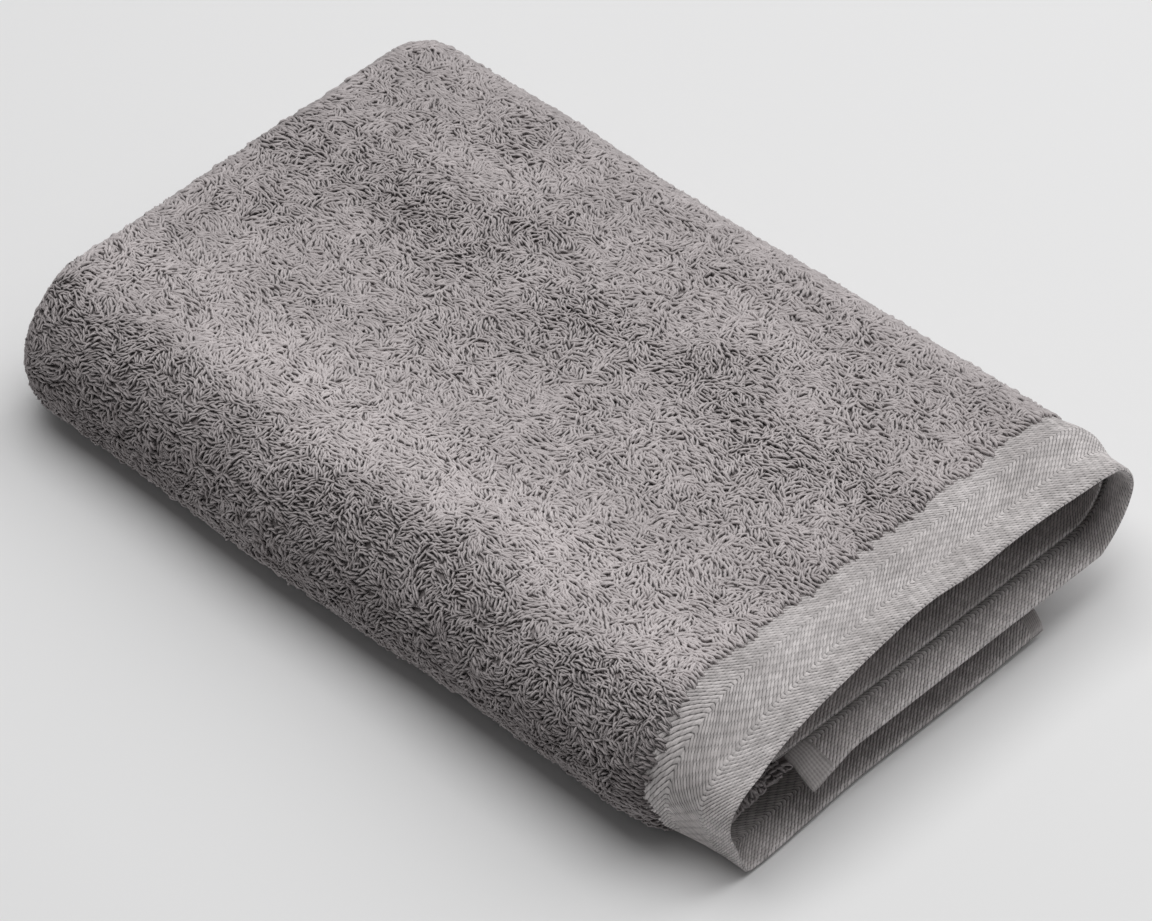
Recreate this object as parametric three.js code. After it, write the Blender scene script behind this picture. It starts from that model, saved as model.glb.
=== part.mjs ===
// A bath towel, folded for the shelf: quartered in its length, then folded in thirds across its width.
// Millimetres, +Z up. The origin is on the surface it lies on, under the middle of the folded towel.
// +Y runs along the towel's length to the closed far end, +X across it to the right-hand fold.
//
// The cloth lies four plies deep in each third. Ply 1 carries the hem that shows, ply 2 the hem tucked
// under it, and plies 3 and 4 meet in a fold of terry behind the hems. Going down, the thirds are the
// middle panel, the right flap and the left flap, which the towel rests on.
import * as THREE from 'three';

// Driving dimensions
const FOLDED_WIDTH = 230;
const FOLDED_LENGTH = 354;
const PLIES = 4;
const TERRY_THICKNESS = 4.9;
const BORDER_THICKNESS = 2.6;
const HEM_THICKNESS = 3.4;
const GAP = 0.3;
const PANEL_GAP = 1.5;
const BORDER_WIDTH = 38;
const END_HEM_WIDTH = 9;
const SIDE_HEM_WIDTH = 8;
const SECOND_HEM_RECESS = 12;
const NEAR_FOLD_RECESS = 14;
const LEFT_FLAP_SHORT_OF_FOLD = 41;
const RIGHT_FLAP_WIDTH = 165;
const ARC_SEGMENTS = 14;

// Levels: the height of each ply's middle, in each third
const PITCH = TERRY_THICKNESS + GAP;
const PANEL_THICKNESS = PLIES * PITCH - GAP;
const FOLDED_HEIGHT = 3 * PANEL_THICKNESS + 2 * PANEL_GAP;
const plyMiddle = (panelBase, ply) => panelBase + (ply - 1) * PITCH + TERRY_THICKNESS / 2;
const upsideDown = (panelBase) => (ply) => plyMiddle(panelBase, ply);
const faceUp = (panelBase) => (ply) => plyMiddle(panelBase, PLIES + 1 - ply);
const rightFlapBase = PANEL_THICKNESS + PANEL_GAP;
const middleBase = 2 * rightFlapBase;

// Fold lines along the towel: the left one holds all three thirds, the right one only the upper two
const leftRadius = FOLDED_HEIGHT / 2;
const leftFold = { x: -FOLDED_WIDTH / 2 + leftRadius, z: leftRadius, side: -1 };
const rightFoldZ = (rightFlapBase + PANEL_THICKNESS + middleBase) / 2;
const rightRadius = FOLDED_HEIGHT - rightFoldZ;
const rightFold = { x: FOLDED_WIDTH / 2 - rightRadius, z: rightFoldZ, side: 1 };

// Places along the length
const hemLine = -FOLDED_LENGTH / 2;
const outerFoldRadius = 1.5 * PITCH;
const innerFoldRadius = 0.5 * PITCH;
const farFoldY = FOLDED_LENGTH / 2 - outerFoldRadius - TERRY_THICKNESS / 2;
const nearFoldY = hemLine + NEAR_FOLD_RECESS + innerFoldRadius + TERRY_THICKNESS / 2;
const hemStart = { 1: hemLine, 2: hemLine + SECOND_HEM_RECESS };

// Every third: where its flat plies begin and end across the width
const thirds = [
  {
    name: 'left_flap',
    from: leftFold.x + GAP,
    to: FOLDED_WIDTH / 2 - LEFT_FLAP_SHORT_OF_FOLD,
    level: upsideDown(0),
    freeEnd: 1,
  },
  {
    name: 'middle_panel',
    from: leftFold.x + GAP,
    to: rightFold.x - GAP,
    level: faceUp(middleBase),
    freeEnd: 0,
  },
  {
    name: 'right_flap',
    from: FOLDED_WIDTH / 2 - RIGHT_FLAP_WIDTH,
    to: rightFold.x - GAP,
    level: upsideDown(rightFlapBase),
    freeEnd: -1,
  },
];

const finishes = {
  terry: { color: 0x8f8888, roughness: 1.0 },
  border: { color: 0xaba7a7, roughness: 0.85 },
  hem: { color: 0xb4b0af, roughness: 0.85 },
};
const acrossBasis = [new THREE.Vector3(1, 0, 0), new THREE.Vector3(0, 0, 1), new THREE.Vector3(0, -1, 0)];
const alongBasis = [new THREE.Vector3(0, 1, 0), new THREE.Vector3(0, 0, 1), new THREE.Vector3(1, 0, 0)];

const towel = new THREE.Group();

function addPiece(name, finish, geometry, basis) {
  const material = new THREE.MeshStandardMaterial({ ...finishes[finish], metalness: 0 });
  const mesh = new THREE.Mesh(geometry, material);
  mesh.name = name;
  if (basis) {
    mesh.quaternion.setFromRotationMatrix(new THREE.Matrix4().makeBasis(...basis));
  }
  towel.add(mesh);
  return mesh;
}

function extruded(shape, depth) {
  return new THREE.ExtrudeGeometry(shape, { depth, bevelEnabled: false, curveSegments: ARC_SEGMENTS });
}

// A flat stretch of cloth, in the ranges [low, high] of x and y, with its middle at height z
function addFlat(name, finish, x, y, z, thickness) {
  const box = new THREE.BoxGeometry(x[1] - x[0], y[1] - y[0], thickness);
  addPiece(name, finish, box).position.set((x[0] + x[1]) / 2, (y[0] + y[1]) / 2, z);
}

// Half a tube's section, bulging to side -1 or 1 of its centre
function halfRing(centre, z, radius, thickness, side) {
  const [start, end] = [-Math.PI / 2, side * Math.PI / 2 - (side < 0 ? Math.PI : 0)];
  const turn = side < 0;
  const shape = new THREE.Shape();
  const outer = radius + thickness / 2;
  const inner = radius - thickness / 2;
  shape.absarc(centre, z, outer, start, end, turn);
  shape.absarc(centre, z, inner, end, start, !turn);
  shape.closePath();
  return shape;
}

// Cloth that turns round a fold line that runs along the towel, in the range y
function addLongFold(name, finish, fold, radius, y, thickness) {
  const shape = halfRing(fold.x, fold.z, radius, thickness, fold.side);
  addPiece(name, finish, extruded(shape, y[1] - y[0]), acrossBasis).position.y = y[1];
}

// Cloth that turns round a fold line that runs across the towel, in the range x
function addCrossFold(name, x, foldY, z, radius, side) {
  const shape = halfRing(foldY, z, radius, TERRY_THICKNESS, side);
  addPiece(name, 'terry', extruded(shape, x[1] - x[0]), alongBasis).position.x = x[0];
}

// The stretches that a hemmed ply is made of, from its hem to where its terry ends
function hemmedStretches(ply, terryEnd) {
  const start = hemStart[ply];
  const borderEnd = start + BORDER_WIDTH;
  return [
    { part: 'end_hem', finish: 'hem', y: [start, start + END_HEM_WIDTH], thickness: HEM_THICKNESS },
    { part: 'border', finish: 'border', y: [start + END_HEM_WIDTH + GAP, borderEnd], thickness: BORDER_THICKNESS },
    { part: 'terry', finish: 'terry', y: [borderEnd + GAP, terryEnd], thickness: TERRY_THICKNESS },
  ];
}

function stretches(ply, terryEnd) {
  if (ply in hemStart) {
    return hemmedStretches(ply, terryEnd);
  }
  return [{ part: 'terry', finish: 'terry', y: [nearFoldY + GAP, terryEnd], thickness: TERRY_THICKNESS }];
}

function addThird({ name, from, to, level, freeEnd }) {
  const clothFrom = freeEnd < 0 ? from + SIDE_HEM_WIDTH + GAP : from;
  const clothTo = freeEnd > 0 ? to - SIDE_HEM_WIDTH - GAP : to;
  for (let ply = 1; ply <= PLIES; ply += 1) {
    for (const { part, finish, y, thickness } of stretches(ply, farFoldY - GAP)) {
      addFlat(`${name}_ply${ply}_${part}`, finish, [clothFrom, clothTo], y, level(ply), thickness);
    }
    if (freeEnd) {
      const hemX = freeEnd > 0 ? [to - SIDE_HEM_WIDTH, to] : [from, from + SIDE_HEM_WIDTH];
      const hemY = [hemStart[ply] ?? nearFoldY + GAP, farFoldY - GAP];
      addFlat(`${name}_ply${ply}_side_hem`, 'hem', hemX, hemY, level(ply), HEM_THICKNESS);
    }
  }
  const x = [from, to];
  addCrossFold(`${name}_outer_far_fold`, x, farFoldY, (level(1) + level(4)) / 2, outerFoldRadius, 1);
  addCrossFold(`${name}_inner_far_fold`, x, farFoldY, (level(2) + level(3)) / 2, innerFoldRadius, 1);
  addCrossFold(`${name}_near_fold`, x, nearFoldY, (level(3) + level(4)) / 2, innerFoldRadius, -1);
}

// Plies 1 and 4 turn round the far end outside plies 2 and 3, so they reach further in the long folds too
function addLongFolds(name, fold, outerRadius) {
  for (let ply = 1; ply <= PLIES; ply += 1) {
    const radius = outerRadius - TERRY_THICKNESS / 2 - (ply - 1) * PITCH;
    const reach = ply === 1 || ply === PLIES ? outerFoldRadius : innerFoldRadius;
    const terryEnd = farFoldY + reach + TERRY_THICKNESS / 2;
    for (const { part, finish, y, thickness } of stretches(ply, terryEnd)) {
      addLongFold(`${name}_ply${ply}_${part}`, finish, fold, radius, y, thickness);
    }
  }
}

thirds.forEach(addThird);
addLongFolds('left_fold', leftFold, leftRadius);
addLongFolds('right_fold', rightFold, rightRadius);

export default towel;
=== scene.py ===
"""Looks of a folded bath towel: one cloth, quartered in its length and folded in thirds across its width.

Lengths inside this script are millimetres in the row frame; meshes are written in metres.
A place on the folded cloth is (s, y, depth): s runs along the towel's width, from the left flap's free
edge round the left fold, over the middle panel and round the right fold to the right flap's free edge.
y runs along the folded length, and depth goes in from the outer face of the folded stack.
A place on the cloth itself is (s, v): v runs along its length, from the hem that shows, round the far
and near folds, to the second hem.
"""

import math

import bpy
import numpy as np
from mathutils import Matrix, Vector


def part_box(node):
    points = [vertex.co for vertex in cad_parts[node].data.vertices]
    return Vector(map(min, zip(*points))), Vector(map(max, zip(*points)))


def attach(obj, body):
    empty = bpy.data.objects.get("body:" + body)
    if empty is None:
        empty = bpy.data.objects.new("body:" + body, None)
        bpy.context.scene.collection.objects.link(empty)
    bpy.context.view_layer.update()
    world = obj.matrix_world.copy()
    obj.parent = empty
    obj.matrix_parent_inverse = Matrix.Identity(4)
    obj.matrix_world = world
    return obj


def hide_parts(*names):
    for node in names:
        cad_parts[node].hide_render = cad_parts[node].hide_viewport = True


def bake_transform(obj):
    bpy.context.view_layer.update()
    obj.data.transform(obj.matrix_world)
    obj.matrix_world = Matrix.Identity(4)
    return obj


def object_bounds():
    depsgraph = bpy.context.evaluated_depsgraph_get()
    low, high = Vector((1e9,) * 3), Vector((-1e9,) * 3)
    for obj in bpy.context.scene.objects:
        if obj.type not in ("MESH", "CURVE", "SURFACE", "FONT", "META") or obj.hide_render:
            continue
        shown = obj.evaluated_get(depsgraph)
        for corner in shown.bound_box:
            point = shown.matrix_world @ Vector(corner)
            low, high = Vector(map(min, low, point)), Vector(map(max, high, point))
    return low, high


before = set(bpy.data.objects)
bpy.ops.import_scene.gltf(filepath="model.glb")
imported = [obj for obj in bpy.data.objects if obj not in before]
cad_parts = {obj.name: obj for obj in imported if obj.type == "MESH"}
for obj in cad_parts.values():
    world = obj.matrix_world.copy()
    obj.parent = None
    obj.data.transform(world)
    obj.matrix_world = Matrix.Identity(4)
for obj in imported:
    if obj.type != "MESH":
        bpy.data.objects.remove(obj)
cad_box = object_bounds()

MM = 0.001
SEED = 20


def box(node):
    low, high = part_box(node)
    return np.array(low) / MM, np.array(high) / MM


# ---------------------------------------------------------------- sizes, from the frame
TOP = cad_box[1].z / MM
panel_low, panel_high = box("middle_panel_ply1_terry")
PLY = panel_high[2] - panel_low[2]
PITCH = panel_high[2] - box("middle_panel_ply2_terry")[1][2]
PANEL = 3 * PITCH + PLY
PLY_DEPTH = [PLY / 2 + PITCH * k for k in range(4)]
HEM_Y = box("middle_panel_ply1_end_hem")[0][1]
SECOND_HEM_Y = box("middle_panel_ply2_end_hem")[0][1]
BORDER = box("middle_panel_ply1_border")[1][1] - HEM_Y
TERRY_Y = HEM_Y + BORDER
FAR_Y = box("middle_panel_outer_far_fold")[0][1]
END_Y = box("middle_panel_outer_far_fold")[1][1]
NEAR_Y = box("middle_panel_near_fold")[1][1]

left_high = box("left_fold_ply1_terry")[1]
LEFT_X, LEFT_Z, LEFT_R = left_high[0], left_high[2] / 2, left_high[2] / 2
right_low, right_high = box("right_fold_ply1_terry")
RIGHT_X, RIGHT_Z = right_low[0], (right_low[2] + right_high[2]) / 2
RIGHT_R = (right_high[2] - right_low[2]) / 2
RIGHT_BASE = right_low[2]
LEFT_END = box("left_flap_ply1_side_hem")[1][0]
RIGHT_END = box("right_flap_ply1_side_hem")[0][0]
SIDE_HEM = LEFT_END - box("left_flap_ply1_side_hem")[0][0]

# Stretches of s, measured along the middle of the outer ply
S_LEFT = LEFT_END - LEFT_X
S_MIDDLE = S_LEFT + math.pi * (LEFT_R - PLY / 2)
S_RIGHT = S_MIDDLE + RIGHT_X - LEFT_X
S_FLAP = S_RIGHT + math.pi * (RIGHT_R - PLY / 2)
S_END = S_FLAP + RIGHT_X - RIGHT_END
SPLIT_X = 60.0  # where the two halves of the cloth meet, under the pile of the middle panel
S_SPLIT = S_MIDDLE + SPLIT_X - LEFT_X


def smooth(a, b, x):
    t = np.clip((x - a) / (b - a), 0, 1)
    return t * t * (3 - 2 * t)


def spline(points, t):
    """Catmull-Rom through evenly spaced points, for t from 0 to 1."""
    p = np.asarray(points, float)
    p = np.vstack([2 * p[0] - p[1], p, 2 * p[-1] - p[-2]])
    f = np.clip(t, 0, 1) * (len(p) - 3)
    i = np.minimum(f.astype(int), len(p) - 4)
    f = (f - i)[..., None]
    a, b, c, d = p[i], p[i + 1], p[i + 2], p[i + 3]
    return b + 0.5 * f * (c - a + f * (2 * a - 5 * b + 4 * c - d + f * (3 * (b - c) + d - a)))


def waves(seed, count, shortest, longest):
    """A smooth random field of unit size, as a sum of sine waves over 3-D points."""
    r = np.random.default_rng(seed)
    k = r.normal(size=(count, 3))
    k *= (2 * math.pi / r.uniform(shortest, longest, count) / np.linalg.norm(k, axis=1))[:, None]
    phase = r.uniform(0, 2 * math.pi, count)
    return lambda p: np.sin(p @ k.T + phase).sum(-1) * math.sqrt(2 / count)


# ---------------------------------------------------------------- the shape of the fold-up
HEM_DROP = 0.235  # how much the hem end loses of its height at the left fold
HEM_DROP_FROM = -45.0  # the x where that begins
FAR_DROP = 0.16  # how much the far end is pressed down
DROP_FROM = TERRY_Y  # where the height begins to fall off towards the far end
INNER_SHIFT = 8.0  # how much further in plies 3 and 4 turn back
SECOND_SHIFT = 9.5  # how much further in the second hem lies
HEM_BOW = 3.7  # how far the outer hem bows in between the folds
FLAP_BOW = 2.6  # and the left flap's hem towards its free end
HUMP = 5.0  # the hump of the left flap's free end, behind its hem
FLAP_CORNER = 9.0  # the radius of the left flap's free corner
FLAP_INSET = 4.5  # how far the flap is drawn in there
INNER_REACH = 15.0  # how much further the right flap's inner plies reach than its outer one
TAB_REACH, TAB_HANG = 6.5, 6.8  # how far the outer one's corner reaches and hangs down as a tab
FOOT_INSET = 3.2  # how far the foot of the left fold is drawn in
FAR_CORNERS = (26.0, 17.0)  # the radii of the far corners, left and right
SIDE_INSETS = (1.7, 2.3)  # how far the right side is drawn in behind the hem, and again further back
BORDER_SWELL = 4.2  # how far the border swells out round the right fold
SLACK_FROM = 0.7  # only cloth above this share of the height can lift
SWELL, RIPPLE, SIDE_SWELL = 0.9, 0.45, 0.8  # its long and short waves, and how far it sways sideways


def far_drop(y):
    return 1 - FAR_DROP * np.clip((y - DROP_FROM) / (END_Y - DROP_FROM), 0, 1)


# The outside of the left fold at the hem line, from the surface up: (x from the fold line, height)
LEFT_NOSE = [
    (0, 0), (-8, 1), (-12, 8), (-15, 17), (-17.5, 26),
    (-17, 33.5), (-13.5, 40), (-7.5, 45.2), (0, TOP * (1 - HEM_DROP)),
]
# The outside of the right fold at the hem line, from the top down: (x from the fold line, z from its axis)
RIGHT_NOSE = [
    (0, RIGHT_R), (9, 19.2), (14.6, 13), (16.6, 5.5),
    (14.6, -3), (10.5, -10.5), (5.5, -16.5), (0, -RIGHT_R),
]

swell = waves(SEED + 1, 7, 60, 150)
ripple = waves(SEED + 2, 9, 22, 45)


def place(s, y, depth):
    """Where a place on the folded cloth is, as an array of points."""
    s, y, depth = np.broadcast_arrays(*(np.asarray(a, float) for a in (s, y, depth)))
    hem = smooth(TERRY_Y + 8, HEM_Y + 3, y)
    from_hem = smooth(TERRY_Y, HEM_Y, y)
    second = smooth(PLY_DEPTH[0] + 1.5, PLY_DEPTH[1] - 1, depth)
    inner = smooth(PLY_DEPTH[1] + 1.5, PLY_DEPTH[2] - 1, depth)

    # plies 3 and 4 turn back a little further inside the middle panel and the right flap
    shift = INNER_SHIFT * inner * smooth(S_MIDDLE - 20, S_MIDDLE + 30, s) * smooth(-60, -150, y)
    # the second hem lies further in, except near the right fold
    further = (second - inner) * smooth(S_RIGHT - 20, S_RIGHT - 60, s) * smooth(-90, -160, y)
    shift = shift + SECOND_SHIFT * further
    # the outer hem bows in between the folds, and so does the left flap's
    bow = HEM_BOW * smooth(S_MIDDLE + 12, S_MIDDLE + 100, s) * smooth(S_RIGHT + 25, S_RIGHT - 30, s)
    y = y + shift + (bow + FLAP_BOW * smooth(S_LEFT, S_LEFT - 60, s)) * from_hem

    x, z = np.empty(s.shape), np.empty(s.shape)
    low, left = s <= S_LEFT, (s > S_LEFT) & (s < S_MIDDLE)
    mid, right, flap = (s >= S_MIDDLE) & (s <= S_RIGHT), (s > S_RIGHT) & (s < S_FLAP), s >= S_FLAP

    x[low], z[low] = LEFT_END - s[low], depth[low]
    x[mid], z[mid] = LEFT_X + s[mid] - S_MIDDLE, TOP - depth[mid]
    x[flap], z[flap] = RIGHT_X - (s[flap] - S_FLAP), RIGHT_BASE + depth[flap]
    flat = low | mid
    w = np.clip((HEM_DROP_FROM - x[flat]) / (HEM_DROP_FROM - LEFT_X), 0, 1)
    z[flat] *= 1 - hem[flat] * HEM_DROP * w * w

    # round the folds, the outside goes from a half circle to the nose at the hem
    late = smooth(TERRY_Y - 12, HEM_Y + 3, y)
    for on, s_from, s_to, centre, radius, nose, side, share in (
        (left, S_LEFT, S_MIDDLE, (LEFT_X, LEFT_Z), LEFT_R, LEFT_NOSE, -1, hem),
        (right, S_RIGHT, S_FLAP, (RIGHT_X, RIGHT_Z), RIGHT_R, RIGHT_NOSE, 1, late),
    ):
        turn = (s[on] - s_from) / (s_to - s_from)
        h = share[on][:, None]
        circle = np.stack([side * np.sin(turn * math.pi), side * np.cos(turn * math.pi)], -1) * radius
        if side < 0:  # this nose is given from the surface, and its axis sinks with the hem end
            middle = np.stack([np.full(turn.shape, centre[0]), centre[1] * (1 - hem[on] * HEM_DROP)], -1)
            at_hem = spline(nose, turn) + np.array([centre[0], 0])
            outside = (1 - h) * (circle + np.array(centre)) + h * at_hem
        else:
            middle = np.array(centre) + 0 * circle
            outside = (1 - h) * circle + h * spline(nose, turn) + middle
        at = middle + (outside - middle) * (1 - depth[on] / radius)[:, None]
        x[on], z[on] = at[:, 0], at[:, 1]

    # the left flap's free end: a low hump behind the hem, a round corner drawn in a little
    hump = HUMP * np.exp(-(((y - HEM_Y - 11) / 7.5) ** 2)) * (1 - smooth(2, 16, depth))
    z = z + hump * smooth(LEFT_END - 36, LEFT_END - 8, x) * low
    over = np.clip(HEM_Y + FLAP_CORNER - y, 0, FLAP_CORNER - 0.05)
    cut_away = FLAP_CORNER - np.sqrt(FLAP_CORNER**2 - over * over)
    x = x - cut_away * smooth(LEFT_END - 22, LEFT_END, x) * low
    x = x - FLAP_INSET * smooth(LEFT_END - 40, LEFT_END, x) * smooth(HEM_Y + 26, HEM_Y + 6, y) * low
    # the right flap's inner plies reach further than its outer one, whose end hangs down as a tab
    reach = smooth(RIGHT_END + 45, RIGHT_END, x) * flap
    x = x - INNER_REACH * reach * smooth(4, 8, depth) * smooth(-90, -160, y)
    tab = smooth(RIGHT_END + 16, RIGHT_END, x) * flap * (1 - second)
    x = x - TAB_REACH * tab * smooth(HEM_Y + 32, HEM_Y + 12, y)
    z = z - TAB_HANG * tab * smooth(HEM_Y + 13, HEM_Y, y)
    return settled(x, y, z)


def settled(x, y, z):
    """The rest of the shape, which the whole stack shares: foot, far corners, sides, border and slack."""
    foot = smooth(-5, -60, y) * smooth(LEFT_X + 10, LEFT_X - 25, x) * smooth(45, 15, z)
    x = x + FOOT_INSET * foot

    # the height falls off towards the far end, whose corners are round
    z = z * far_drop(y)
    for r, half, sign in ((FAR_CORNERS[0], x < 0, 1), (FAR_CORNERS[1], x >= 0, -1)):
        over = np.clip(y - (END_Y - r), 0, r * 0.995)
        inset = r - np.sqrt(r * r - over * over)
        x = x + sign * half * inset * np.clip(np.abs(x) / 115, 0, 1) ** 2
    # the right side is drawn in behind the hem
    drawn = SIDE_INSETS[0] * smooth(HEM_Y + 28, HEM_Y + 62, y) + SIDE_INSETS[1] * smooth(-60, 10, y)
    x = x - drawn * smooth(20, 100, x)
    # and the border swells out round the right fold
    x = x + BORDER_SWELL * np.exp(-(((y - HEM_Y - 25) / 11) ** 2)) * smooth(88, 112, x)

    # slack in the cloth: only what lies high enough can lift
    p = np.stack([x, y, 0 * x], -1)
    z = z + smooth(SLACK_FROM, 1.0, z / TOP) * (SWELL * swell(p) + RIPPLE * ripple(p))
    x = x + SIDE_SWELL * np.clip(z / TOP, 0, 1.1) * swell(p[..., [1, 0, 2]] + 40)
    return np.stack([x, y, z], -1)


# The cloth's path along the folded length, in (y, depth): (kind, length, ...)
R_OUT, R_IN = 1.5 * PITCH, 0.5 * PITCH
D1, D2, D3, D4 = PLY_DEPTH
RUNS = [
    ("line", FAR_Y - HEM_Y, HEM_Y, D1, 1),
    ("arc", math.pi * R_OUT, FAR_Y, (D1 + D4) / 2, R_OUT, 1, 1),
    ("line", FAR_Y - NEAR_Y, FAR_Y, D4, -1),
    ("arc", math.pi * R_IN, NEAR_Y, (D3 + D4) / 2, R_IN, -1, -1),
    ("line", FAR_Y - NEAR_Y, NEAR_Y, D3, 1),
    ("arc", math.pi * R_IN, FAR_Y, (D2 + D3) / 2, R_IN, 1, -1),
    ("line", FAR_Y - SECOND_HEM_Y, FAR_Y, D2, -1),
]
V_AT = np.concatenate([[0], np.cumsum([r[1] for r in RUNS])])
V_FAR, V_PLY4, V_NEAR, V_PLY3, V_INNER, V_PLY2, V_END = V_AT[1:8]


def path(v):
    """(y, depth) at v along the cloth's length, and the direction of its outer face there."""
    v = np.asarray(v, float)
    y, d, ny, nd = (np.zeros(v.shape) for _ in range(4))
    for k, run in enumerate(RUNS):
        on = (v >= V_AT[k]) & ((v < V_AT[k + 1]) | (k == len(RUNS) - 1)) | ((v < 0) & (k == 0))
        t = v[on] - V_AT[k]
        if run[0] == "line":
            y[on], d[on] = run[2] + run[4] * t, run[3]
            ny[on], nd[on] = 0, -run[4]
        else:
            _, length, cy, cd, radius, side, spin = run
            a = t / length * math.pi
            # from depth cd - spin * radius, out to cy + side * radius, to depth cd + spin * radius
            oy, od = side * np.sin(a), -spin * np.cos(a)
            y[on], d[on] = cy + radius * oy, cd + radius * od
            ty, td = side * np.cos(a), spin * np.sin(a)
            ny[on], nd[on] = td, -ty
    return y, d, ny, nd


def surface(s, v, height):
    """A point on the cloth, height above the middle of its thickness towards its outer face."""
    y, d, ny, nd = path(v)
    return place(s, y + ny * height, d + nd * height)


# ---------------------------------------------------------------- meshes
def make(name, points, quads, tris=None, uv=None, tone=None):
    points = np.asarray(points, float).reshape(-1, 3) * MM
    quads = np.asarray(quads, np.int32).reshape(-1, 4)
    tris = np.zeros((0, 3), np.int32) if tris is None else np.asarray(tris, np.int32).reshape(-1, 3)
    mesh = bpy.data.meshes.new(name)
    mesh.vertices.add(len(points))
    mesh.vertices.foreach_set("co", points.astype(np.float32).ravel())
    corners = np.concatenate([quads.ravel(), tris.ravel()])
    mesh.loops.add(len(corners))
    mesh.loops.foreach_set("vertex_index", corners)
    starts = np.concatenate([np.arange(len(quads)) * 4, 4 * len(quads) + np.arange(len(tris)) * 3])
    mesh.polygons.add(len(starts))
    mesh.polygons.foreach_set("loop_start", starts.astype(np.int32))
    mesh.polygons.foreach_set("use_smooth", np.ones(len(starts), bool))
    if uv is not None:
        layer = mesh.uv_layers.new(name="UVMap")
        layer.data.foreach_set("uv", np.asarray(uv, np.float32).reshape(-1, 2)[corners].ravel())
    if tone is not None:
        mesh.attributes.new("tone", "FLOAT", "POINT").data.foreach_set("value", tone.astype(np.float32))
    mesh.update(calc_edges=True)
    piece = bpy.data.objects.new(name, mesh)
    bpy.context.scene.collection.objects.link(piece)
    return piece


def grid_quads(rows, columns, offset=0, flip=False):
    i, j = np.meshgrid(np.arange(rows - 1), np.arange(columns - 1), indexing="ij")
    a = offset + i * columns + j
    quads = np.stack([a, a + 1, a + columns + 1, a + columns], -1).reshape(-1, 4)
    return quads[:, ::-1] if flip else quads


def closed_sheet(name, outer, inner, uv=None):
    """Cloth between two grids of points, closed round all four edges."""
    rows, columns, _ = outer.shape
    n = rows * columns
    index = np.arange(n).reshape(rows, columns)
    quads = [grid_quads(rows, columns), grid_quads(rows, columns, n, flip=True)]
    for edge, flip in ((index[0], True), (index[-1], False), (index[:, 0], False), (index[:, -1], True)):
        strip = np.stack([edge[:-1], edge[1:], edge[1:] + n, edge[:-1] + n], -1)
        quads.append(strip[:, ::-1] if not flip else strip)
    points = np.concatenate([outer.reshape(-1, 3), inner.reshape(-1, 3)])
    both = None if uv is None else np.concatenate([uv.reshape(-1, 2)] * 2)
    return make(name, points, np.concatenate(quads), uv=both)


def rounded(t, least=0.0):
    """The height of a round edge, from 0 at the edge to 1 where t is 1."""
    return np.sqrt(np.clip(1 - (1 - np.clip(t, 0, 1)) ** 2, least, 1))


def steps(a, b, step):
    return np.linspace(a, b, max(2, int(math.ceil(abs(b - a) / step)) + 1))


def joined(*parts):
    return np.concatenate([parts[0]] + [p[1:] for p in parts[1:]])


# ---------------------------------------------------------------- materials
def material(name):
    m = bpy.data.materials.new(name)
    m.use_nodes = True
    return m, m.node_tree, m.node_tree.nodes["Principled BSDF"]


def node(tree, kind, inputs=None, **settings):
    n = tree.nodes.new(kind)
    for key, value in settings.items():
        setattr(n, key, value)
    for key, value in (inputs or {}).items():
        if isinstance(value, bpy.types.NodeSocket):
            tree.links.new(value, n.inputs[key])
        else:
            n.inputs[key].default_value = value
    return n


def math_node(tree, operation, a, b=0.0, c=0.0):
    return node(tree, "ShaderNodeMath", {0: a, 1: b, 2: c}, operation=operation).outputs[0]


def remap(tree, value, low, high, to_low, to_high, smoothed=True):
    return node(
        tree,
        "ShaderNodeMapRange",
        {"Value": value, "From Min": low, "From Max": high, "To Min": to_low, "To Max": to_high},
        interpolation_type="SMOOTHSTEP" if smoothed else "LINEAR",
    ).outputs["Result"]


def noise(tree, scale, detail=2.0, roughness=0.5):
    where = node(tree, "ShaderNodeTexCoord").outputs["Object"]
    inputs = {"Vector": where, "Scale": scale, "Detail": detail, "Roughness": roughness}
    return node(tree, "ShaderNodeTexNoise", inputs).outputs["Fac"]


def mix(tree, factor, a, b, blend="MIX"):
    inputs = {0: factor, 6: a, 7: b}
    return node(tree, "ShaderNodeMix", inputs, data_type="RGBA", blend_type=blend).outputs[2]


def grey(tree, value):
    return node(tree, "ShaderNodeCombineColor", {0: value, 1: value, 2: value}).outputs[0]


BROAD, TUFT, GRAIN = 28, 210, 2600  # noise scales, per metre: patches of tone, tufts and single fibres
FIBRE_HEIGHT = 0.0002  # metres


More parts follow.
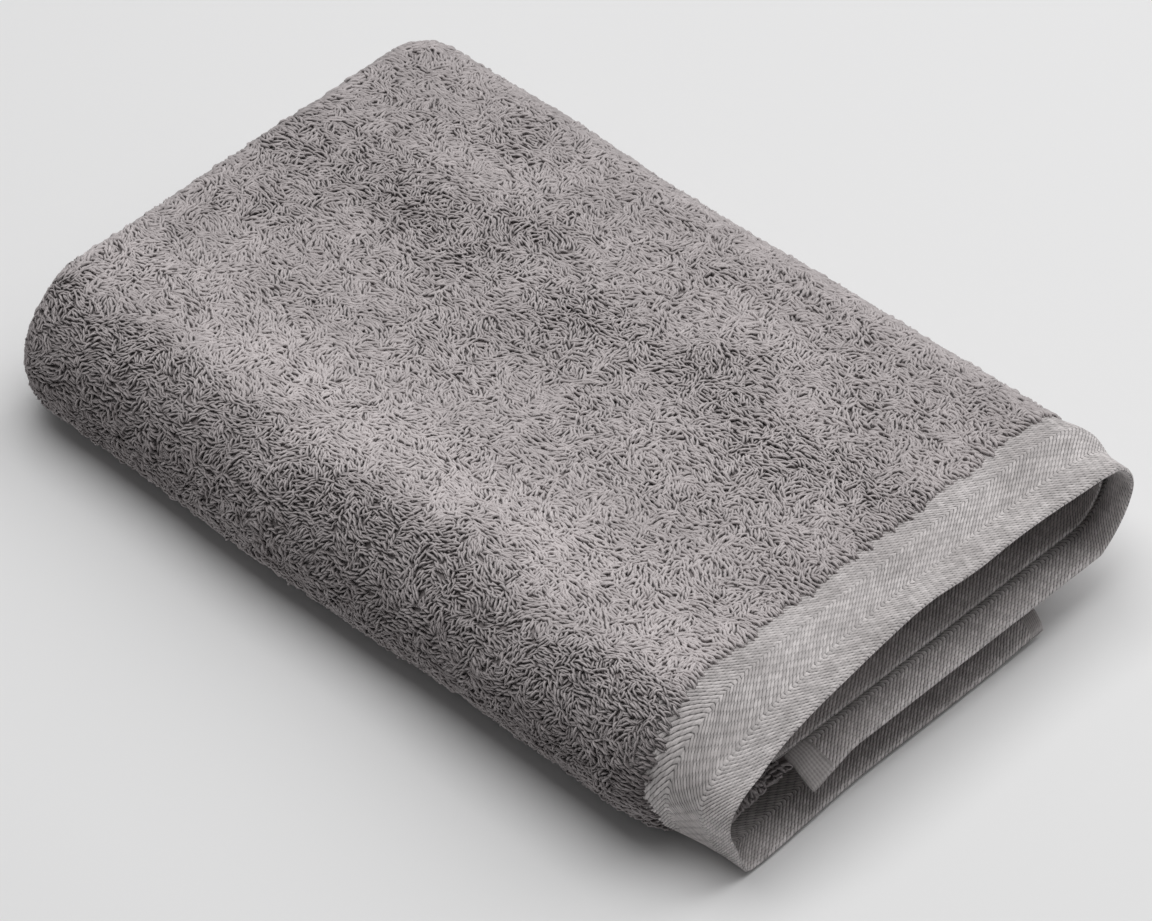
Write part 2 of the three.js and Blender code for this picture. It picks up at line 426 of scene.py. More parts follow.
def cotton(name, dark, light, weave=None, fibre=0.35, yarn=False):
    """Cotton with soft patches of tone, a fine fibre grain and, where it is woven flat, a weave, with
    painted shade in its grooves and hollows.
    """
    m, tree, shader = material(name)
    patches = noise(tree, BROAD, 3)
    grain = noise(tree, GRAIN, 2, 0.6)
    if yarn:
        # the yarn's tone attribute carries painted shade at the loops' ends and lower faces, on the left
        # slope and by the hem, and painted light on the loop tops and the crest, besides the yarn's own
        # tone
        own = node(tree, "ShaderNodeAttribute", attribute_name="tone").outputs["Fac"]
        tone = math_node(tree, "MULTIPLY_ADD", patches, 0.3, math_node(tree, "SUBTRACT", own, 0.15))
        colour = mix(tree, remap(tree, tone, 0.0, 1.0, 0, 1, False), dark, light)
    else:
        tufts = noise(tree, TUFT, 3, 0.6)
        tone = math_node(tree, "MULTIPLY_ADD", patches, 0.9, math_node(tree, "MULTIPLY", tufts, 0.7))
        colour = mix(tree, remap(tree, tone, 0.5, 1.2, 0, 1), dark, light)
    height = grain
    if weave is not None:
        # the weave's painted shade darkens the colour in its grooves and hollows
        shade, relief = weave(tree)
        colour = mix(tree, 1.0, colour, grey(tree, shade), "MULTIPLY")
        height = math_node(tree, "MULTIPLY_ADD", relief, 2.0, grain)
    fibres = grey(tree, remap(tree, grain, 0.25, 0.75, 0.86, 1.12, False))
    colour = mix(tree, 1.0, colour, fibres, "MULTIPLY")
    tree.links.new(colour, shader.inputs["Base Color"])
    shader.inputs["Roughness"].default_value = 0.92
    shader.inputs["Specular IOR Level"].default_value = 0.18
    shader.inputs["Sheen Weight"].default_value = 0.15
    shader.inputs["Sheen Roughness"].default_value = 0.6
    bump = node(tree, "ShaderNodeBump", {"Strength": fibre, "Distance": FIBRE_HEIGHT, "Height": height})
    tree.links.new(bump.outputs[0], shader.inputs["Normal"])
    return m


STITCH = 1.9  # the length of a stitch of a twill line
STAGGER = 0.37  # how far, in stitches, each twill line is ahead of the one before


def herringbone(tree):
    """Painted shade and relief of the twill: its UV holds the twill line's number and the distance from the
    hem.
    """
    uv = node(tree, "ShaderNodeUVMap", uv_map="UVMap").outputs[0]
    parts = node(tree, "ShaderNodeSeparateXYZ", {0: uv})
    line, along = parts.outputs[0], parts.outputs[1]
    wobble = math_node(tree, "MULTIPLY_ADD", noise(tree, 420, 2), 0.3, -0.15)
    phase = math_node(tree, "ADD", line, wobble)
    ridge = math_node(tree, "MULTIPLY", math_node(tree, "PINGPONG", phase, 0.5), 2.0)
    groove = remap(tree, ridge, 0.0, 0.42, 1, 0)
    number = math_node(tree, "FLOOR", phase)
    stitches = math_node(tree, "MULTIPLY", along, 1 / STITCH)
    stagger = math_node(tree, "MULTIPLY_ADD", number, STAGGER, stitches)
    knot = math_node(tree, "MULTIPLY", math_node(tree, "PINGPONG", stagger, 0.5), 2.0)
    gap = remap(tree, knot, 0.0, 0.45, 1, 0)
    # each stitch of a twill line has a tone of its own
    stitch = math_node(tree, "FLOOR", stagger)
    cell = node(tree, "ShaderNodeCombineXYZ", {0: number, 1: stitch, 2: 0.0}).outputs[0]
    tone = node(tree, "ShaderNodeTexWhiteNoise", {"Vector": cell}, noise_dimensions="3D").outputs["Value"]
    # the grooves' painted shade is fainter in some places than in others, and dotted close to the hem
    near_hem = remap(tree, along, 1.5, 6.0, 1, 0)
    faint = remap(tree, noise(tree, 38, 2), 0.35, 0.7, 0.36, 0.68)
    deep = math_node(tree, "MULTIPLY_ADD", gap, 0.42, faint)
    # painted shade in the grooves between twill lines, and in the holes between stitches
    dark = math_node(tree, "MULTIPLY", groove, deep)
    hole_painted_shade = math_node(tree, "MULTIPLY", groove, gap)
    hem_dot_painted_shade = math_node(tree, "MULTIPLY", hole_painted_shade, math_node(tree, "MULTIPLY", near_hem, 0.6))
    shade = math_node(tree, "SUBTRACT", 1.0, math_node(tree, "ADD", dark, hem_dot_painted_shade))
    # painted shade between the stitches
    shade = math_node(tree, "MULTIPLY_ADD", gap, -0.2, shade)
    shade = math_node(tree, "MULTIPLY", shade, math_node(tree, "MULTIPLY_ADD", tone, 0.36, 0.98))
    shade = math_node(tree, "MAXIMUM", shade, 0.08)
    relief = math_node(tree, "SUBTRACT", ridge, math_node(tree, "MULTIPLY", gap, 0.4))
    return shade, relief


RIB, PICK = 0.9, 1.3  # the pitch of a side hem's weave, across and along it


def tape(tree):
    """Painted shade and relief of a side hem, plain cloth ribbed along its length, darker in the hollows
    between its ribs.
    """
    uv = node(tree, "ShaderNodeUVMap", uv_map="UVMap").outputs[0]
    parts = node(tree, "ShaderNodeSeparateXYZ", {0: uv})
    rib = math_node(tree, "PINGPONG", math_node(tree, "MULTIPLY", parts.outputs[0], 1 / RIB), 0.5)
    pick = math_node(tree, "PINGPONG", math_node(tree, "MULTIPLY", parts.outputs[1], 1 / PICK), 0.5)
    ridge = math_node(tree, "MULTIPLY_ADD", rib, 1.4, math_node(tree, "MULTIPLY", pick, 0.6))
    return remap(tree, ridge, 0.0, 0.9, 0.7, 1.05), ridge


# the yarn's darkest and lightest colours; its tone between them holds painted shade and painted light as
# well as its own tone
YARN_DARK, YARN_LIGHT = (0.17, 0.15, 0.151, 1), (0.86, 0.80, 0.80, 1)
# the ground cloth is coloured darker than the yarn: painted shade for the gaps between the loops
GROUND_PAINTED_SHADE_DARK, GROUND_PAINTED_SHADE_LIGHT = (0.22, 0.196, 0.196, 1), (0.32, 0.288, 0.288, 1)
BAND_DARK, BAND_LIGHT = (0.42, 0.393, 0.389, 1), (0.60, 0.568, 0.565, 1)
pile_cotton = cotton("pile", YARN_DARK, YARN_LIGHT, yarn=True)
# the ground cloth's material, darkened as painted shade between the loops
ground_painted_shade_cotton = cotton("ground", GROUND_PAINTED_SHADE_DARK, GROUND_PAINTED_SHADE_LIGHT, fibre=0.6)
band_cotton = cotton("band", BAND_DARK, BAND_LIGHT, herringbone)
tape_cotton = cotton("tape", BAND_DARK, BAND_LIGHT, tape)


def finish_piece(piece, look, bodies, nodes=()):
    piece.data.materials.append(look)
    if len(bodies) == 1:
        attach(piece, bodies[0])
    else:
        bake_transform(piece)
    if nodes:
        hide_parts(*nodes)
    return piece


# ---------------------------------------------------------------- how the cloth turns at the joints
def between(x, low, high):
    """A blend zone from one height to another at the border, following the far end's lower height."""
    middle, half = (low + high) / 2, (high - low) / 2
    normal = Vector((0, middle * FAR_DROP / (END_Y - DROP_FROM), 1)).normalized()
    centre = Vector((x, DROP_FROM, middle)) * MM
    return centre - normal * half * MM, centre + normal * half * MM


LEFT_ZONE = between(LEFT_X, PANEL + 0.9, TOP - PANEL)
RIGHT_ZONE = between(RIGHT_X, TOP - PANEL, RIGHT_BASE + PANEL)
LEFT_BODIES, RIGHT_BODIES = ("left_flap", "middle_panel"), ("middle_panel", "right_flap")
NODES = sorted(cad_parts)


def nodes_of(prefixes, kind):
    """The CAD nodes of one kind in the stretches of cloth that these prefixes name."""
    return [n for n in NODES if n.startswith(prefixes) and kind(n)]


def is_border(name):
    return name.endswith(("_border", "_end_hem"))


def is_side_hem(name):
    return name.endswith("_side_hem")


def is_terry(name):
    return not is_border(name) and not is_side_hem(name)


# ---------------------------------------------------------------- ground cloth
GROUND = 0.9  # half the thickness of the cloth that carries the pile
UNDER = 5.0  # how far the border runs on under the pile
V_TERRY, V_TERRY_END = BORDER, V_END - BORDER
ground_v = joined(
    steps(V_TERRY, V_FAR, 7),
    steps(V_FAR, V_PLY4, 2.2),
    steps(V_PLY4, V_NEAR, 7),
    steps(V_NEAR, V_PLY3, 1.2),
    steps(V_PLY3, V_INNER, 9),
    steps(V_INNER, V_PLY2, 1.4),
    steps(V_PLY2, V_TERRY_END, 9),
)


def ground(name, s):
    outer, inner = (surface(s[None, :], ground_v[:, None], h) for h in (GROUND, -GROUND))
    return closed_sheet(name, outer, inner)


TUCK = 2.0  # how far the ground cloth runs on inside the side hems
left_s = joined(
    steps(SIDE_HEM - TUCK, S_LEFT, 5),
    steps(S_LEFT, S_MIDDLE, 3.5),
    steps(S_MIDDLE, S_SPLIT, 5),
)
right_s = joined(
    steps(S_SPLIT, S_RIGHT, 5),
    steps(S_RIGHT, S_FLAP, 3),
    steps(S_FLAP, S_END - SIDE_HEM + TUCK, 5),
)
left_cloth = finish_piece(
    ground("towel_left", left_s), ground_painted_shade_cotton, LEFT_BODIES,
    nodes_of(("left_flap", "left_fold", "middle_panel"), is_terry),
)
right_cloth = finish_piece(
    ground("towel_right", right_s), ground_painted_shade_cotton, RIGHT_BODIES,
    nodes_of(("right_flap", "right_fold"), is_terry),
)

# ---------------------------------------------------------------- herringbone borders
TWILL = 1.2  # the distance between twill lines, across them, on the flat
TWILL_LEAN = 1.28  # how far a line runs along the hem for each millimetre away from it
FOLD_LEAN = 0.6  # how much further at the left fold
COLUMNS = (12.3, 28.3)  # where the twill turns, from the hem
FOLD_TURN = 5.0  # how much nearer the hem the second turn is at the left fold
ROLL = 9.0  # the width of the rolled hem
HEM_HALF, BAND_HALF = 1.1, 0.9  # half the thickness of the rolled hem, and of the band behind it
TWILL_RELIEF = 0.15
RIDGE = np.array([-1.0, 0.35, 0.65, 0.35])  # the relief at each quarter of a twill line
END_SOFT = 3.0  # the length over which the twill gathers at a cut end
OVERLAP = 5.0  # how far the border runs under the side hem
MEASURED_AT = 15.0  # how far from the hem the border's length is measured
SPARE = 40.0  # how far past its ends
SPARE_LINES = (8, 22)  # how far, in s, the twill lines begin and end past a cut end, because they lean
LEAST_HALF = 0.05  # half the thickness of the cloth at its very edge


def lean_of_twill(s):
    """How far a twill line runs along the hem for each millimetre away from it."""
    at_fold = smooth(S_MIDDLE + 44, S_MIDDLE - 26, s) * smooth(S_LEFT, S_MIDDLE - 40, s)
    return TWILL_LEAN + FOLD_LEAN * at_fold


def zigzag(b, s):
    """How far a twill line has gone along the hem, at b from it, in units of its lean."""
    first = COLUMNS[0]
    at_fold = smooth(S_MIDDLE + 20, S_MIDDLE - 35, s) * smooth(S_LEFT, S_MIDDLE - 60, s)
    second = COLUMNS[1] - FOLD_TURN * at_fold
    return np.where(b < first, -b, np.where(b < second, b - 2 * first, 2 * (second - first) - b))


def gather(t, end, sign):
    """Keeps t on its side of a cut end, drawing it in over a short length."""
    into = sign * (t - end)
    drawn_in = END_SOFT * np.exp(np.minimum(into / END_SOFT - 1, 0))
    return end + sign * np.where(into < END_SOFT, drawn_in, into)


def border(name, y0, depth, s0, s1, cut):
    """A hem and its herringbone, with the twill's ridges as relief on both faces."""
    # s at even steps of real length, so that the twill keeps its pitch round the folds
    fine = np.linspace(s0 - SPARE, s1 + SPARE, 3000)
    line = place(fine, y0 + MEASURED_AT, depth - 1)
    length = np.concatenate([[0], np.cumsum(np.linalg.norm(np.diff(line, axis=0), axis=1))])
    # the number of twill lines up to each place, counted from where the two halves meet
    lines = (length - np.interp(S_SPLIT, fine, length)) / (TWILL * math.hypot(1, TWILL_LEAN))
    first = 4 * np.interp(s0 - (SPARE_LINES[0] if cut[0] else 0), fine, lines)
    last = 4 * np.interp(s1 + (SPARE_LINES[1] if cut[1] else 0), fine, lines)
    i = np.arange(math.ceil(first - 1e-6), math.floor(last + 1e-6) + 1)
    at_s = np.interp(i / 4, lines, fine)
    u = np.interp(at_s, fine, length)
    b = joined(np.array([0, 0.15, 0.45, 0.9, 1.6]), steps(1.6, BORDER + UNDER, 1.12))
    sheared = u[None, :] + zigzag(b[:, None], at_s[None, :]) * lean_of_twill(at_s)[None, :]
    if cut[0]:
        sheared = gather(sheared, np.interp(s0, fine, length), 1)
    if cut[1]:
        sheared = gather(sheared, np.interp(s1, fine, length), -1)
    s = np.interp(sheared, length, fine)
    hemmed = HEM_HALF - (HEM_HALF - BAND_HALF) * smooth(ROLL - 0.7, ROLL + 0.5, b)
    stitch = 0.3 * np.exp(-(((b - ROLL + 1.2) / 0.45) ** 2))
    edge = rounded(b / HEM_HALF)
    relief = TWILL_RELIEF * RIDGE[i % 4][None, :] * smooth(0.3, 1.4, b)[:, None]
    half = np.maximum(((hemmed - stitch) * edge)[:, None] + relief, LEAST_HALF)
    y = y0 + b[:, None] + 0 * s
    outer, inner = place(s, y, depth - half), place(s, y, depth + half)
    uv = np.stack(np.broadcast_arrays(i[None, :] / 4, b[:, None]), -1)
    return closed_sheet(name, outer, inner, uv)


for k, y0, depth in ((1, HEM_Y, D1), (2, SECOND_HEM_Y, D2)):
    finish_piece(
        border(f"border_left_{k}", y0, depth, SIDE_HEM - OVERLAP, S_SPLIT, (True, False)),
        band_cotton, LEFT_BODIES,
        nodes_of(("left_flap_ply%d" % k, "left_fold_ply%d" % k, "middle_panel_ply%d" % k), is_border),
    )
    finish_piece(
        border(f"border_right_{k}", y0, depth, S_SPLIT, S_END - SIDE_HEM + OVERLAP, (False, True)),
        band_cotton, RIGHT_BODIES,
        nodes_of(("right_flap_ply%d" % k, "right_fold_ply%d" % k), is_border),
    )

# ---------------------------------------------------------------- side hems
TAPE = 1.6  # half a side hem's thickness
SEWN_AT = 6.6  # the line where it is sewn, from its edge
tape_v = joined(
    np.array([0, 0.3, 0.9, 2.0]),
    steps(2.0, V_FAR, 4),
    steps(V_FAR, V_PLY4, 2.2),
    steps(V_PLY4, V_NEAR, 5),
    steps(V_NEAR, V_PLY3, 1.2),
    steps(V_PLY3, V_INNER, 5),
    steps(V_INNER, V_PLY2, 1.4),
    steps(V_PLY2, V_END - 2.0, 5),
    V_END - np.array([2.0, 0.9, 0.3, 0]),
)


def side_hem(name, edge, inward):
    """The cloth's rolled long edge, from hem to hem through every ply."""
    b = np.array([0, 0.25, 0.8, 1.6, 2.6, 4.0, 5.6, SEWN_AT, 7.2, SIDE_HEM])
    stitch = 0.4 * np.exp(-(((b - SEWN_AT) / 0.5) ** 2))
    half = TAPE * rounded(b / TAPE) - stitch - 0.5 * (b == SIDE_HEM)
    ends = np.minimum(tape_v - tape_v[0], tape_v[-1] - tape_v)
    thick = np.maximum(half[None, :] * rounded(ends / 1.5, 0.003)[:, None], LEAST_HALF)
    s = (edge + inward * b)[None, :] + 0 * thick
    v = tape_v[:, None] + 0 * thick
    outer, inner = surface(s, v, thick), surface(s, v, -thick)
    uv = np.stack([b[None, :] + 0 * thick, v], -1)
    if inward < 0:
        outer, inner, uv = outer[:, ::-1], inner[:, ::-1], uv[:, ::-1]
    return closed_sheet(name, outer, inner, uv)


left_tape = finish_piece(
    side_hem("side_hem_left", 0.0, 1), tape_cotton, ("left_flap",),
    nodes=nodes_of(("left_flap",), is_side_hem),
)
right_tape = finish_piece(
    side_hem("side_hem_right", S_END, -1), tape_cotton, ("right_flap",),
    nodes=nodes_of(("right_flap",), is_side_hem),
)

# ---------------------------------------------------------------- pile
RINGS = 6  # along a loop
CELL = 4.6  # the size of the patches of loops that lie the same way
ROW, REACH = 0.94, 2.8  # the distance between loops, across and along them
STRAY_ACROSS, STRAY_ALONG = 0.10, 0.32  # how far they stray from it
LEAN_SHARES = (0.2, 0.42, 0.78)  # of patches across the towel, then turned by 45, 90 and 135 degrees
PATCHES = 4096  # the number of different random patches
ROOT = GROUND - 0.3  # the height of a loop's ends over the middle of the cloth
LOOP_TOP = 1.5  # the least height of its top
LOOP_LENGTH = (1.15, 1.6)  # of the distance along a row, so that loops overlap
LYING_OVER, OVER_LIFT = 0.12, 0.45  # the share of loops that lie over the others, and how much higher
YARN_HEIGHT = 0.72  # a yarn's height as a share of its width
LEAST_STRETCH = 0.25  # of the outer face against the middle of the cloth, for loops inside a tight fold
patch_table = np.random.default_rng(SEED + 6).uniform(0, 1, (PATCHES, 8))
thin_places = waves(SEED + 7, 9, 14, 50)
ragged = waves(SEED + 8, 9, 4, 14)


def patch_of(i, j):
    """The random numbers of patch (i, j)."""
    return patch_table[(i * 73856093 ^ j * 19349663) % PATCHES]


def seed_of(i, j):
    """The middle of patch (i, j)."""
    own = patch_of(i, j)
    return np.stack([(i + 0.12 + 0.76 * own[..., 0]) * CELL, (j + 0.12 + 0.76 * own[..., 1]) * CELL], -1)


def openness(s, v):
    """How loose the pile is, from 0 to 1: loosest on the left slope, closest on its crest."""
    slope = smooth(S_MIDDLE + 8, S_MIDDLE - 16, s) * smooth(S_LEFT, S_LEFT + 14, s)
    crest = np.exp(-(((s - (S_MIDDLE + 16)) / 14) ** 2))
    edge = smooth(S_RIGHT - 30, S_RIGHT - 5, s)
    patches = 0.16 * thin_places(np.stack([s, v, 0 * s], -1))
    centre = np.exp(-(((s - (S_MIDDLE + 108)) / 26) ** 2))
    return np.clip(0.13 + 0.85 * slope + 0.45 * centre - 0.1 * crest - 0.05 * edge + patches, 0, 1)


def region_tone_and_painted_light(s, v):
    """How light the yarn is over the folded towel: painted shade on the left slope and more of it by the
    hem, lighter along the crest and darker in a band in the middle, partly the pile's lie and partly
    painted highlight and painted shade, and darker towards the right edge and the far end.
    """
    y = HEM_Y + v
    # lighter along the crest: partly the pile's lie, partly a painted highlight
    crest = 0.13 * np.exp(-(((s - (S_MIDDLE + 18)) / 18) ** 2))
    # darker in a band in the middle: partly the pile's lie, partly painted shade
    centre = -0.06 * np.exp(-(((s - (S_MIDDLE + 104)) / 24) ** 2)) * smooth(-60, 80, y)
    right = -0.03 * smooth(S_RIGHT - 34, S_RIGHT - 4, s)
    # painted shade on the left slope, which faces away from the lamps, and more of it by the hem
    slope = -0.2 * smooth(S_MIDDLE + 2, S_MIDDLE - 48, s)
    hem_slope_painted_shade = -0.1 * smooth(S_MIDDLE, S_MIDDLE - 40, s) * smooth(-60, -140, y)
    far = -0.06 * smooth(30, 150, y)
    return crest + centre + right + slope + hem_slope_painted_shade + far


def terry_edge(s):
    """Where the pile begins: it spreads over the border at the left fold."""
    return V_TERRY + 0.7 - 8.0 * smooth(S_MIDDLE + 20, S_MIDDLE - 35, s)


def loop_places(r, s_range, v_range, scale, has_edge):
    """Where loops stand: s, v, their place in their patch, the patch's random numbers and its lean."""
    i, j = (
        a.ravel()
        for a in np.meshgrid(
            np.arange(math.floor(s_range[0] / CELL) - 1, math.ceil(s_range[1] / CELL) + 1),
            np.arange(math.floor(v_range[0] / CELL) - 1, math.ceil(v_range[1] / CELL) + 1),
            indexing="ij",
        )
    )
    own = patch_of(i, j)
    middle = seed_of(i, j)
    lean = np.searchsorted(LEAN_SHARES, own[:, 2]) * math.pi / 4 + (own[:, 3] - 0.5) * 0.6
    if has_edge:  # by the border the loops stand across its edge
        close = np.abs(middle[:, 1] - terry_edge(middle[:, 0])) < 4.5
        lean = np.where(close, math.pi / 2 + (own[:, 3] - 0.5) * 0.7, lean)
    # rows of loops over each patch and past its edges
    a, b = (k.ravel() for k in np.meshgrid(np.arange(-5, 6), np.arange(-2, 3), indexing="ij"))
    da = (a[None, :] + own[:, 4:5] - 0.5) * ROW * scale + r.normal(0, STRAY_ACROSS, (len(i), len(a)))
    db = (b[None, :] + 0.5 * (a % 2)[None, :] + own[:, 5:6] - 0.5) * REACH * scale
    db = db + r.normal(0, STRAY_ALONG, da.shape)
    c, sn = np.cos(lean)[:, None], np.sin(lean)[:, None]
    s = middle[:, :1] + db * c - da * sn
    v = middle[:, 1:] + db * sn + da * c
    # a loop stays where its own patch's middle is the nearest one, or nearly
    keep = (s >= s_range[0]) & (s < s_range[1]) & (v >= v_range[0]) & (v < v_range[1])
    for di in (-1, 0, 1):
        for dj in (-1, 0, 1):
            if di or dj:
                other = seed_of(i + di, j + dj)
                keep &= da * da + db * db <= (s - other[:, :1]) ** 2 + (v - other[:, 1:]) ** 2 + 3.0
    if has_edge:
        keep &= v > terry_edge(s) + 0.9 * ragged(np.stack([s, 0 * s, 0 * s], -1))
    patch = np.broadcast_to(np.arange(len(i))[:, None], s.shape)[keep]
    return s[keep], v[keep], da[keep], db[keep], own[patch], lean[patch]


def stretch(s, v, eps=0.5):
    """How far the cloth's outer face goes for each millimetre of s and of v."""
    along_s = surface(s + eps, v, LOOP_TOP) - surface(s - eps, v, LOOP_TOP)
    along_v = surface(s, v + eps, LOOP_TOP) - surface(s, v - eps, LOOP_TOP)
    return (np.linalg.norm(a, axis=-1) / (2 * eps) for a in (along_s, along_v))


def unit(a):
    return a / np.linalg.norm(a, axis=-1, keepdims=True)


def tubes(centre, up, radius):
    """Three-sided tubes along rows of points, closed at both ends: points, quads and tris."""
    n, ring_count = centre.shape[:2]
    run = unit(np.gradient(centre, axis=1))
    side = unit(np.cross(run, up))
    up = np.cross(side, run)
    angles = (math.pi / 2, math.pi * 7 / 6, math.pi * 11 / 6)
    rings = [centre + radius * (math.cos(g) * side + math.sin(g) * YARN_HEIGHT * up) for g in angles]
    points = np.stack(rings, 2)  # strand, ring, corner
    points[..., 2] = np.maximum(points[..., 2], 0.0)  # nothing goes into the floor
    first = (np.arange(n) * ring_count * 3)[:, None]
    last = first + 3 * (ring_count - 1)
    start = first[..., None] + (np.arange(ring_count - 1) * 3)[None, :, None]
    corner = np.arange(3)[None, None, :]
    following = (corner + 1) % 3
    quads = np.stack([start + corner, start + 3 + corner, start + 3 + following, start + following], -1)
    tris = np.concatenate([first + np.array([0, 1, 2]), last + np.array([0, 2, 1])])
    return points.reshape(-1, 3), quads.reshape(-1, 4), tris


def pile(s_range, v_range, scale, seed, has_edge):
    """Loops of pile yarn on the outer face of the cloth: points, quads, tris and a tone for each point,
    with painted shade and painted light in it.
    """
    r = np.random.default_rng(seed)
    s, v, da, db, own, lean = loop_places(r, s_range, v_range, scale, has_edge)
    per_s, per_v = stretch(s, v)
    loose = openness(s, v)
    stay = r.uniform(0, 1, len(s)) < np.clip(per_s * per_v, 0, 1) * (1 - 0.10 * loose)
    s, v, da, db, own, lean, loose = (a[stay] for a in (s, v, da, db, own, lean, loose))
    per_s, per_v = (np.maximum(a[stay], LEAST_STRETCH)[:, None] for a in (per_s, per_v))
    n = len(s)

    # each loop's lean, length, width, height, bend and twist
    lean = lean + r.normal(0, 0.13 + 0.10 * loose, n)
    tall, tip = own[:, 6], 2 * math.pi * own[:, 7]
    length = REACH * scale * r.uniform(*LOOP_LENGTH, n)
    width = ROW * scale * (1.62 - 0.38 * loose) * r.uniform(0.88, 1.1, n)
    tilt = (0.05 + 0.12 * loose) * (da * np.cos(tip) + db * np.sin(tip)) / scale
    over = r.uniform(0, 1, n) < LYING_OVER
    top = LOOP_TOP + (0.2 + 0.45 * loose) * r.uniform(0, 1, n) + (0.25 + 0.3 * loose) * tall
    top = (top + np.clip(tilt, -0.55, 0.55) + OVER_LIFT * over)[:, None]
    bend = (r.normal(0, 0.09, n) * length)[:, None]
    twist = r.normal(0, 0.35, n)[:, None]

    # its line over the cloth, and the tube round that
    t = np.linspace(-1, 1, RINGS if scale < 1.3 else RINGS - 1)[None, :]
    off = bend * (1 - t * t) + 0.1 * width[:, None] * np.sin(3 * t + twist * 6)
    h = ROOT + (top - ROOT) * (1 - np.abs(t) ** 4.4) * (1 + 0.1 * np.sin(2 * t + 9 * twist))
    c, sn = np.cos(lean)[:, None], np.sin(lean)[:, None]
    a = 0.5 * length[:, None] * t
    ss = s[:, None] + (a * c - off * sn) / per_s
    vv = v[:, None] + (a * sn + off * c) / per_v
    centre = surface(ss, vv, h)
    up = unit(surface(ss, vv, h + 0.5) - centre)
    radius = 0.56 * width[:, None, None] * (0.72 + 0.28 * (1 - t[..., None] ** 4))
    points, quads, tris = tubes(centre, up, radius)

    # its tone: painted shade towards the ends, where each loop goes down between the others, and on its two
    # lower faces, with a painted lighter top face, most where the pile is loose
    tone = region_tone_and_painted_light(s, v) + r.normal(0, 0.045, n) + 0.08 * (tall - 0.5) + 0.06 * over
    # painted shade where each loop dives into the cloth between the others
    ends = -(0.08 + 0.38 * loose)[:, None] * np.abs(t) ** 3
    # a painted lighter top face and painted shade on the two lower faces of each yarn, which darkens the
    # gaps between loops
    faces = np.array([0.06, -0.3, -0.3]) * (0.6 + loose)[:, None, None]
    tone = (0.5 + tone[:, None] + ends)[..., None] + faces
    return points, quads, tris, tone.ravel()


SEEN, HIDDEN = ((1.0, 2.3))  # how coarse the pile is
MOST = 4600  # loops in one piece
PILE_START = V_TERRY - 10  # before the ragged edge of the pile
NEAR_END = V_PLY3 + 12  # the pile ends a little way inside ply 3, which nothing shows

# (name, s from, s to, v from, v to, coarseness, bodies, zone)
AREAS = [
    ("left_flap_under", SIDE_HEM, S_LEFT, PILE_START, V_FAR, HIDDEN, ("left_flap",), None),
    ("left_flap_end", SIDE_HEM, S_LEFT, V_FAR, V_PLY4, SEEN * 1.15, ("left_flap",), None),
    ("left_flap_inside", SIDE_HEM, S_LEFT, V_PLY4, V_NEAR, SEEN * 1.5, ("left_flap",), None),
    ("left_flap_near", SIDE_HEM, S_LEFT, V_NEAR, NEAR_END, SEEN * 1.15, ("left_flap",), None),
    ("left_fold_outside", S_LEFT, S_MIDDLE, PILE_START, V_PLY4, SEEN, LEFT_BODIES, LEFT_ZONE),
    ("left_fold_inside", S_LEFT, S_MIDDLE, V_PLY4, NEAR_END, SEEN * 1.6, LEFT_BODIES, LEFT_ZONE),
    ("middle_top", S_MIDDLE, S_RIGHT, PILE_START, V_FAR, SEEN, ("middle_panel",), None),
    ("middle_end", S_MIDDLE, S_RIGHT, V_FAR, V_PLY4, SEEN * 1.15, ("middle_panel",), None),
    ("middle_inside", S_MIDDLE, S_RIGHT, V_PLY4, V_NEAR, SEEN * 1.5, ("middle_panel",), None),
    ("middle_near", S_MIDDLE, S_RIGHT, V_NEAR, NEAR_END, SEEN * 1.15, ("middle_panel",), None),
    ("right_fold_outside", S_RIGHT, S_FLAP, PILE_START, V_PLY4, SEEN, RIGHT_BODIES, RIGHT_ZONE),
    ("right_fold_inside", S_RIGHT, S_FLAP, V_PLY4, NEAR_END, HIDDEN, RIGHT_BODIES, RIGHT_ZONE),
    ("right_flap_outside", S_FLAP, S_END - SIDE_HEM, PILE_START, V_FAR, SEEN * 1.5, ("right_flap",), None),
    ("right_flap_end", S_FLAP, S_END - SIDE_HEM, V_FAR, V_PLY4, SEEN * 1.15, ("right_flap",), None),
    ("right_flap_inside", S_FLAP, S_END - SIDE_HEM, V_PLY4, V_NEAR, SEEN * 1.7, ("right_flap",), None),
    ("right_flap_near", S_FLAP, S_END - SIDE_HEM, V_NEAR, NEAR_END, SEEN * 1.15, ("right_flap",), None),
]
for number, (name, s0, s1, v0, v1, scale, bodies, zone) in enumerate(AREAS):
    parts = max(1, math.ceil((s1 - s0) * (v1 - v0) / (ROW * REACH * scale * scale) / MOST))
    cuts = np.linspace(v0, v1, parts + 1)
    for k in range(parts):
        points, quads, tris, tone = pile(
            (s0, s1), (cuts[k], cuts[k + 1]), scale, SEED + 100 + 17 * number + k, v0 == PILE_START,
        )
        piece = make(f"pile_{name}_{k + 1}", points, quads, tris, tone=tone)
        finish_piece(piece, pile_cotton, bodies)

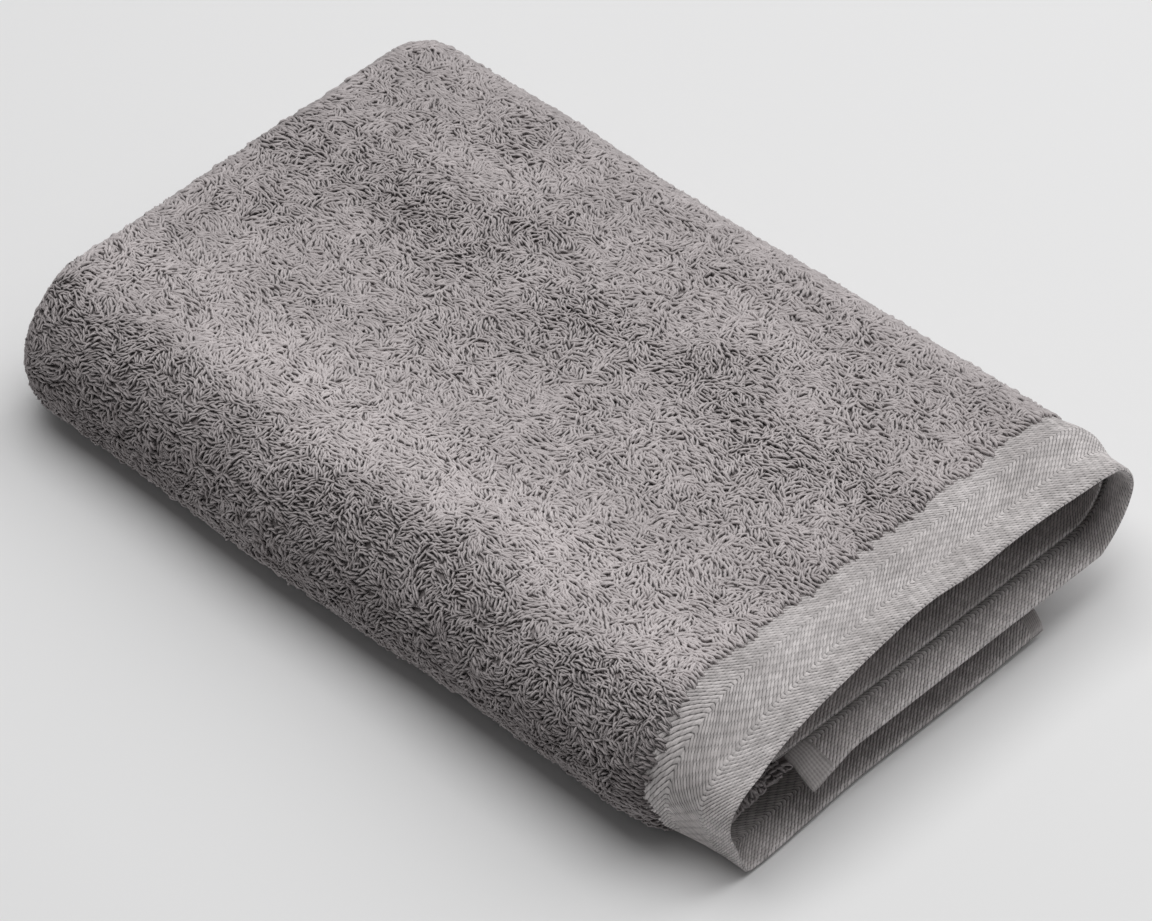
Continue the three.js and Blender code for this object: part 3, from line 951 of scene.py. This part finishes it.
# ---------------------------------------------------------------- floor, light, camera
FLOOR_SIZE, FLOOR_Z = 9, -0.0003  # metres
bpy.ops.mesh.primitive_plane_add(size=FLOOR_SIZE, location=(0, 0, FLOOR_Z))
floor = bpy.context.object
floor.name = "floor"
floor_look, floor_tree, floor_shader = material("floor")
tint = mix(floor_tree, noise(floor_tree, 1.2, 1), (0.80, 0.80, 0.805, 1), (0.835, 0.835, 0.835, 1))
floor_tree.links.new(tint, floor_shader.inputs["Base Color"])
floor_shader.inputs["Roughness"].default_value = 0.9
floor_shader.inputs["Specular IOR Level"].default_value = 0.1
floor.data.materials.append(floor_look)

world = bpy.data.worlds.new("studio")
bpy.context.scene.world = world
world.use_nodes = True
background = world.node_tree.nodes["Background"]
background.inputs["Color"].default_value = (1.0, 1.0, 1.0, 1)
background.inputs["Strength"].default_value = 0.16


def aim(thing, target):
    thing.rotation_mode = "QUATERNION"
    thing.rotation_quaternion = (Vector(target) - thing.location).to_track_quat("-Z", "Y")


def softbox(name, position, size, power):
    """A square area light, turned to the towel: metres and watts."""
    lamp = bpy.data.lights.new(name, "AREA")
    lamp.size, lamp.energy = size, power
    thing = bpy.data.objects.new(name, lamp)
    bpy.context.scene.collection.objects.link(thing)
    thing.location = position
    aim(thing, (0, 0, 0.03))


softbox("key", (1.4, -0.25, 1.5), 1.6, 15)
softbox("overhead", (0.0, 0.15, 2.2), 1.8, 32.6)

IMAGE_WIDTH = 1152
LENS_PIXELS = 6500.0  # focal length in pixels of the long side
CAMERA_TURN, CAMERA_RISE, CAMERA_DISTANCE = -45.61, 44.98, 2.367  # degrees, degrees, metres
AIM_RIGHT, AIM_UP = 0.0053, 0.0106  # metres from the origin, seen from the camera
turn, rise = math.radians(CAMERA_TURN), math.radians(CAMERA_RISE)
back = Vector((math.sin(turn) * math.cos(rise), -math.cos(turn) * math.cos(rise), math.sin(rise)))
across = Vector((math.cos(turn), math.sin(turn), 0))
upward = back.cross(across)
camera = bpy.data.objects.new("camera", bpy.data.cameras.new("camera"))
bpy.context.scene.collection.objects.link(camera)
bpy.context.scene.camera = camera
camera.data.sensor_width = 36
camera.data.lens = LENS_PIXELS / IMAGE_WIDTH * camera.data.sensor_width
target = AIM_RIGHT * across + AIM_UP * upward
camera.location = target + CAMERA_DISTANCE * back
aim(camera, target)
camera.data.clip_start, camera.data.clip_end = 0.05, 50
bpy.context.scene.view_settings.view_transform = "Standard"
